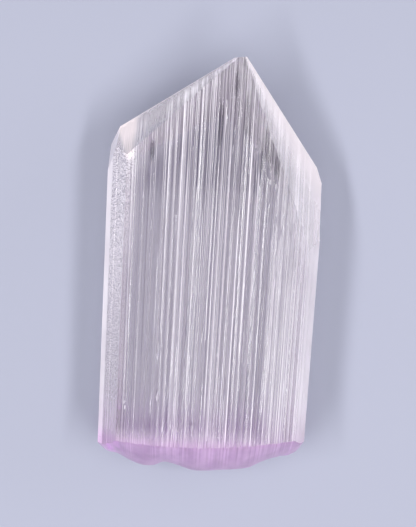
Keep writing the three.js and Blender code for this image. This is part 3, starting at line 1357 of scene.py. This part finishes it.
@dataclass
class Dressing:
    """Where the crystal is frosted, lilac, warm, pitted, streaked, painted with shade or silky, corner by
    corner; the streaks are partly painted highlight lines.

    Each of those is a method that gives a number from 0 up for every corner of the mesh.
    """

    body: CrystalBody
    facets: Facets
    left_bevel_frost: float = 0.14
    left_foot_frost: float = 0.5
    left_foot_y: Span = (0.0, -26.0)
    right_bevel_frost: float = 0.9
    wall_frost: float = 0.4
    fracture_frost: float = 0.58
    rim_frost: float = 1.3
    rim_x: Span = (-16.2, -15.8)
    right_join: float = 3.0
    left_join: float = 4.0
    right_haze: float = 0.35
    right_haze_x: Span = (7.5, 12.0)
    left_haze: float = 0.07
    left_haze_x: Span = (-2.0, -8.0)
    foot_frost: float = 0.6
    foot_fade: float = 5.0
    fade_power: float = 1.5
    end_stops: tuple[float, ...] = (0.0, 0.35, 0.9, 1.0)
    left_end_frost: tuple[float, ...] = (0.42, 0.35, 0.45, 1.0)
    right_end_frost: tuple[float, ...] = (0.55, 0.6, 0.65, 0.8)
    back_end_frost: float = 0.5
    blunt_frost: float = 1.3
    blunt_up: float = 0.15
    blunt_aside: float = 0.85
    lilac_body: float = 0.5
    lilac_body_over: Span = (17.0, 3.0)
    lilac_edge_over: Span = (3.5, -0.5)
    stain: Stain = field(default_factory=Stain)
    stain_level: float = 0.6
    edge_warmth: float = 0.45
    edge_warmth_over: Span = (0.1, 0.9)
    pits_y: Span = (-24.0, 4.0)
    side_pits: float = 0.45
    side_pits_reach: float = 3.0
    side_pits_y: Span = (-2.0, 10.0)
    streak_lean: Span = (9.0, 24.0)
    straight: Span = (0.2, 0.06)
    crest_full: float = 0.03
    crest_left: Span = (-13.0, -6.0)
    crest_least: float = 0.3
    bright_streak: float = 0.85
    faint_streak: float = 0.38
    tip_streak: float = 0.65
    bevel_streak: float = 0.6
    wall_streak: float = 0.3
    back_streak: float = 0.3
    chip_streak: float = 0.3
    join_streak: float = 0.55
    streak_foot: Span = (-0.8, 3.0)
    run_on_from: float = 10.0
    run_on_blur: int = 3
    run_on_over: Span = (1.0, 0.3)
    left_end_streak: float = 0.7
    right_end_streak: float = 0.3
    fracture_streak: float = 0.13
    fracture_streak_z: Span = (5.0, 10.8)
    # Painted shade: over the tip, in lens-shaped spots, and on the end faces beside the front face; the
    # tip's span also brightens the painted highlight lines.
    painted_tip_shade: float = 0.5
    painted_tip_y: Span = (6.0, 16.0)
    painted_tip_shade_x: Span = (-15.0, 0.0)
    painted_spot_shade: float = 1.5
    painted_end_spot_shade: float = 0.85
    painted_end_shade_most: float = 0.9
    painted_join_shade: float = 0.5
    painted_join_shade_over: float = 0.5
    painted_join_shade_y: Span = (9.0, 18.0)
    bevel_veil: float = 0.5
    end_veil_over: Span = (0.9, 0.2)

    @cached_property
    def to_ridge(self) -> np.ndarray:
        """Share of the way from the front face's edge to the nearer of the tip's ridges, from 0 to 1.

        That is a over a + b, with a the depth below the front face and b the distance to the ridge.

        Returns:
            A share for each corner.
        """
        below = self.body.blade.thickness - self.facets.points[:, 2]
        return below / np.maximum(below + self.body.termination.from_ridge(self.facets.points), TINY)

    def above_edge(self) -> np.ndarray:
        """Gives the height of each corner over the lowest point of the break's front edge."""
        return self.facets.points[:, 1] - self.body.blade.base - self.body.fracture.edge_lowest

    def side_frost(self) -> np.ndarray:
        """Works out the frost of the bevels, the walls and the break.

        The left bevel is clearer, but for its foot and a narrow rim along its outer edge.

        Returns:
            The frost, and 0 elsewhere.
        """
        x, y, _ = self.facets.points.T
        left = self.facets.on(Face.FRONT_LEFT_BEVEL)
        frost = (self.left_bevel_frost + self.left_foot_frost * smooth_step(*self.left_foot_y, y)) * left
        frost = frost + self.right_bevel_frost * self.facets.on(Face.FRONT_RIGHT_BEVEL)
        frost = frost + self.wall_frost * self.facets.on(*WALLS)
        frost = frost + self.fracture_frost * self.facets.on_break
        return np.maximum(frost, self.rim_frost * smooth_step(*self.rim_x[::-1], x) * left)

    def front_frost(self) -> np.ndarray:
        """Works out the frost of the front: below the end faces, as a haze each side, and at its foot.

        Returns:
            The greatest of them, and 0 elsewhere.
        """
        x = self.facets.points[:, 0]
        front = self.facets.on(Face.FRONT, Face.FRONT_RIGHT_BEVEL)
        tip = self.body.termination
        joins = (
            (tip.front_right(), self.right_end_frost[0], self.right_join),
            (tip.front_left(), self.left_end_frost[0], self.left_join),
        )
        frost = [
            most * smooth_step(-reach, 0.0, face.distance(self.facets.points)) * front
            for face, most, reach in joins
        ]
        frost.append(self.right_haze * smooth_step(*self.right_haze_x, x) * front)
        frost.append(self.left_haze * smooth_step(*self.left_haze_x, x) * front)
        foot = self.foot_frost * smooth_step(self.foot_fade, 0.0, self.above_edge()) ** self.fade_power
        frost.append(foot * self.facets.on(*FRONT_FACES))
        return np.maximum.reduce(frost)

    def frost(self) -> np.ndarray:
        """Works out how frosted the surface is: least on the front, most on the blunting faces.

        The end faces' frost follows its stops from the front's edge out to the ridge, apart for the
        left and the right, and is even on the back.

        Returns:
            A number from 0, clear, to 1 or a little more, frosted.
        """
        facets = self.facets
        right = np.interp(self.to_ridge, self.end_stops, self.right_end_frost)
        left = np.interp(self.to_ridge, self.end_stops, self.left_end_frost)
        ends = np.where(facets.right(), right, left)
        ends = np.where(facets.normals[:, 2] < 0, self.back_end_frost, ends)
        blunt = (facets.normals[:, 1] > self.blunt_up) & (
            ~facets.on_tip | (np.abs(facets.normals[:, 0]) > self.blunt_aside)
        )
        sides = np.maximum(self.side_frost(), self.front_frost())
        return np.where(blunt, self.blunt_frost, np.where(facets.on_tip, ends, sides))

    def blush(self) -> np.ndarray:
        """Works out how lilac the surface is: fully on the fracture, then fading up the body.

        Returns:
            A number from 0 to 1.
        """
        above = self.facets.points[:, 1] - self.body.blade.base
        body = self.lilac_body * smooth_step(*self.lilac_body_over, above) ** self.fade_power
        edge = smooth_step(*self.lilac_edge_over, self.above_edge())
        return np.where(self.facets.on_break, 1.0, np.maximum(body, edge))

    def warmth(self) -> np.ndarray:
        """Works out the warm tones: the stain on the left, and the right end face towards its ridge.

        Returns:
            A number from 0 to 1.
        """
        x, y, z = self.facets.points.T
        stain = self.stain.share(x, y) * (z > self.body.blade.thickness * self.stain_level)
        right_end = self.facets.on_tip & self.facets.upward() & self.facets.right()
        edge = self.edge_warmth * smooth_step(*self.edge_warmth_over, self.to_ridge) * right_end
        return np.maximum(stain, edge)

    def speckle(self) -> np.ndarray:
        """Works out where the surface is finely pitted: the left bevel, less and less towards the base.

        Beside the bevel, the upper front is pitted a little too.

        Returns:
            A number from 0 to 1.
        """
        x, y, _ = self.facets.points.T
        inner = -self.body.blade.width / 2 + self.body.blade.front_left_bevel
        bevel = self.facets.on(Face.FRONT_LEFT_BEVEL) * smooth_step(*self.pits_y, y)
        bevel = bevel * smooth_step(*self.rim_x, x)
        beside = self.side_pits * smooth_step(inner + self.side_pits_reach, inner, x)
        beside = beside * smooth_step(*self.side_pits_y, y)
        return np.maximum(bevel, beside * self.facets.on(Face.FRONT))

    def highlight_strength(self) -> np.ndarray:
        """Works out how bright the painted highlight line of a steep facet is on each face: brightest on the
        front's bold ridges.

        On the front it rises towards the tip, and in the chips it falls.

        Returns:
            A number from 0 up.
        """
        x, y, _ = self.facets.points.T
        bold = np.minimum(1.0, sum(crest.depth(x, y) for crest in CRESTS) / self.crest_full)
        bold = bold * (self.crest_least + (1.0 - self.crest_least) * smooth_step(*self.crest_left, x))
        front = self.faint_streak + (self.bright_streak - self.faint_streak) * bold
        # Painted highlight: the facet lines grow brighter towards the tip.
        front = front * (1.0 + self.tip_streak * smooth_step(*self.painted_tip_y, y))
        bright = front * self.facets.on(Face.FRONT)
        bright = bright + self.bevel_streak * self.facets.on(Face.FRONT_RIGHT_BEVEL)
        chipped = sum(chip.depth(x, y, self.body.blade.thickness) for chip in CHIPS) > 0
        bright = bright * np.where(chipped, self.chip_streak, 1.0)
        bright = bright + self.back_streak * self.facets.on(*BACK_FACES)
        return bright + self.wall_streak * self.facets.on(*WALLS)

    def scatter_and_highlight(self) -> np.ndarray:
        """Works out the pale lines on facets that lean out of their flat face: partly real scatter of growth
        steps, partly painted highlight lines.

        They are weaker below the right end face and at the foot, and a facet that doesn't run
        straight lengthwise has none. The front's lines run on over the end faces and fade out
        towards the ridges, and fray out over the upper break.

        Returns:
            A number from 0 on a flat tread to 1 or a little more on a steep riser.
        """
        facets = self.facets
        beside = self.body.termination.front_right().distance(facets.points)
        kept = self.join_streak + (1.0 - self.join_streak) * smooth_step(0.0, -self.right_join, beside)
        steep = smooth_step(*self.streak_lean, facets.lean) * kept
        steep = steep * smooth_step(*self.streak_foot, self.above_edge())
        straight = smooth_step(*self.straight, np.abs(facets.normals[:, 1]))
        lines = self.body.steps(self.run_on_from, self.run_on_blur)
        below = smooth_step(*self.streak_lean, np.interp(facets.points[:, 0], *lines))
        ends = np.where(facets.right(), self.right_end_streak, self.left_end_streak) * below
        ends = ends * (smooth_step(*self.run_on_over, self.to_ridge) * facets.upward())
        frayed = self.fracture_streak * below * smooth_step(*self.fracture_streak_z, facets.points[:, 2])
        body = np.where(facets.on_break, frayed, steep * self.highlight_strength() * straight)
        return np.where(facets.on_tip, ends, body)

    def painted_shade(self) -> np.ndarray:
        """Works out where shade is painted into the crystal's colour: a little over the tip, and in
        lens-shaped spots.

        On the front's end faces it is darkest beside the front face.

        Returns:
            A number from 0 to 1.
        """
        x, y, _ = self.facets.points.T
        # Painted shade over the tip and in the spots.
        tip = self.painted_tip_shade * smooth_step(*self.painted_tip_y, y) * smooth_step(*self.painted_tip_shade_x, x)
        spot = self.painted_spot_shade * np.maximum.reduce([spot.share(x, y) for spot in PAINTED_SHADE_SPOTS])
        front = np.minimum(1.0, tip + spot) * self.facets.on(Face.FRONT)
        inner = smooth_step(self.painted_join_shade_over, 0.0, self.to_ridge) * smooth_step(*self.painted_join_shade_y, y)
        ends = np.minimum(self.painted_end_shade_most, self.painted_join_shade * inner + self.painted_end_spot_shade * spot)
        return np.where(self.facets.on_tip & self.facets.upward(), ends, front)

    def veil(self) -> np.ndarray:
        """Works out where the finest threads show: all over the front, and fading towards the ridges.

        Returns:
            A number from 0 to 1.
        """
        bevels = self.facets.on(Face.FRONT_LEFT_BEVEL, Face.FRONT_RIGHT_BEVEL)
        front = self.facets.on(Face.FRONT) + self.bevel_veil * bevels
        ends = smooth_step(*self.end_veil_over, self.to_ridge) * self.facets.upward()
        return np.where(self.facets.on_tip, ends, front)

    def write(self, mesh: bpy.types.Mesh) -> None:
        """Stores every number on the mesh, under its method's name.

        Args:
            mesh: The mesh that the corners are from.
        """
        marks = (self.frost, self.blush, self.warmth, self.speckle, self.scatter_and_highlight, self.painted_shade, self.veil)
        for mark in marks:
            values = mesh.attributes.new(mark.__name__, "FLOAT", "CORNER")
            values.data.foreach_set("value", mark().astype(np.float32))


@dataclass
class KunziteCrystal:
    """The crystal: its surface, and the finish that it is dressed in."""

    body: CrystalBody
    finish: KunziteFinish = field(default_factory=KunziteFinish)

    def build(self) -> bpy.types.Object:
        """Makes the crystal and puts it in the place of its solid.

        Returns:
            The crystal's object.
        """
        mesh = self.body.mesh()
        Dressing(self.body, Facets.of(mesh, self.body)).write(mesh)
        piece = bpy.data.objects.new("kunzite_blade", mesh)
        bpy.context.scene.collection.objects.link(piece)
        mesh.materials.append(self.finish.material())
        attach(piece, "root")
        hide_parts(NODE)
        LOG.info("kunzite_blade: %d faces", len(mesh.polygons))
        return piece


@dataclass(frozen=True)
class SoftLight:
    """A soft box that faces the crystal: its place and sizes in metres, power in watts and tint."""

    name: str
    at: Triple
    size: Span
    power: float
    colour: Triple = (1.0, 1.0, 1.0)

    def build(self) -> bpy.types.Object:
        """Adds the light.

        Returns:
            The light's object.
        """
        data = bpy.data.lights.new(self.name, "AREA")
        data.shape = "RECTANGLE"
        data.size, data.size_y = self.size
        data.energy = self.power
        data.color = self.colour
        light = bpy.data.objects.new(self.name, data)
        turn = Vector(self.at).to_track_quat("Z", "Y").to_matrix().to_4x4()
        light.matrix_world = Matrix.Translation(self.at) @ turn
        bpy.context.scene.collection.objects.link(light)
        return light


@dataclass(frozen=True)
class Studio:
    """The floor, the light and the camera, in metres but for the camera's place, lens and sensor."""

    floor_size: float = 3.0
    floor_drop: float = 0.00003
    floor_colour: Triple = (0.385, 0.40, 0.49)
    floor_roughness: float = 0.7
    floor_shine: float = 0.25
    sky_colour: Triple = (0.68, 0.67, 0.73)
    sky_strength: float = 0.5
    brightest_bounce: float = 1.0
    soft_lights: tuple[SoftLight, ...] = (
        SoftLight("overhead", (0.0, -0.16, 0.50), (0.30, 0.27), 0.42, (0.98, 0.97, 1.0)),
        SoftLight("left_strip", (-0.22, -0.05, 0.32), (0.44, 0.05), 1.0),
        SoftLight("right_strip", (0.22, -0.05, 0.32), (0.44, 0.05), 0.9),
        SoftLight("right_low", (0.36, 0.14, 0.10), (0.24, 0.14), 0.45),
        SoftLight("left_low", (-0.30, 0.30, 0.07), (0.24, 0.10), 0.26, (0.93, 0.97, 1.0)),
    )
    lens: float = 60.0
    sensor: float = 36.0
    nearest: float = 0.01
    camera_at: Triple = (-0.395, 25.31, 145.07)
    lean: float = math.radians(9.602)
    roll: float = math.radians(3.2855)

    def floor(self) -> None:
        """Adds a plain pale floor just under the crystal."""
        half = self.floor_size / 2
        mesh = bpy.data.meshes.new("floor")
        corners = [(-half, -half), (half, -half), (half, half), (-half, half)]
        mesh.from_pydata([(x, y, -self.floor_drop) for x, y in corners], [], [(0, 1, 2, 3)])
        shader = Shader("floor")
        surface = shader.node("ShaderNodeBsdfPrincipled", inputs={
            "Base Color": (*self.floor_colour, 1.0),
            "Roughness": self.floor_roughness,
            "Specular IOR Level": self.floor_shine,
        })
        shader.node("ShaderNodeOutputMaterial", inputs={"Surface": surface.outputs["BSDF"]})
        mesh.materials.append(shader.material)
        floor = bpy.data.objects.new("floor", mesh)
        bpy.context.scene.collection.objects.link(floor)

    def lights(self) -> None:
        """Adds the soft boxes, one overhead, a strip and a low one each side, and an even pale sky."""
        for light in self.soft_lights:
            light.build()
        world = bpy.data.worlds.new("studio")
        world.use_nodes = True
        background = world.node_tree.nodes["Background"]
        background.inputs["Color"].default_value = (*self.sky_colour, 1.0)
        background.inputs["Strength"].default_value = self.sky_strength
        bpy.context.scene.world = world

    def camera(self) -> None:
        """Adds the camera at the photograph's angle, above the blade and leaning towards its base."""
        ahead = Vector((0.0, -math.sin(self.lean), -math.cos(self.lean)))
        upright = Vector((0.0, math.cos(self.lean), -math.sin(self.lean)))
        right = Vector((math.cos(self.roll), 0.0, 0.0)) + upright * math.sin(self.roll)
        up = Vector((-math.sin(self.roll), 0.0, 0.0)) + upright * math.cos(self.roll)
        data = bpy.data.cameras.new("camera")
        data.lens = self.lens
        data.sensor_width = self.sensor
        data.clip_start = self.nearest
        camera = bpy.data.objects.new("camera", data)
        turn = Matrix((right, up, -ahead)).transposed().to_4x4()
        camera.matrix_world = Matrix.Translation(Vector(self.camera_at) * MM) @ turn
        bpy.context.scene.collection.objects.link(camera)
        bpy.context.scene.camera = camera

    def build(self) -> None:
        """Sets up the whole stage."""
        self.floor()
        self.lights()
        self.camera()
        bpy.context.scene.view_settings.view_transform = "Standard"
        bpy.context.scene.cycles.sample_clamp_indirect = self.brightest_bounce


def main() -> None:
    """Builds the crystal and then its stage."""
    logging.basicConfig(level=logging.INFO, format="%(message)s")
    crystal = KunziteCrystal(CrystalBody(Blade.from_frame()))
    crystal.build()
    Studio().build()


if __name__ == "__main__":
    main()
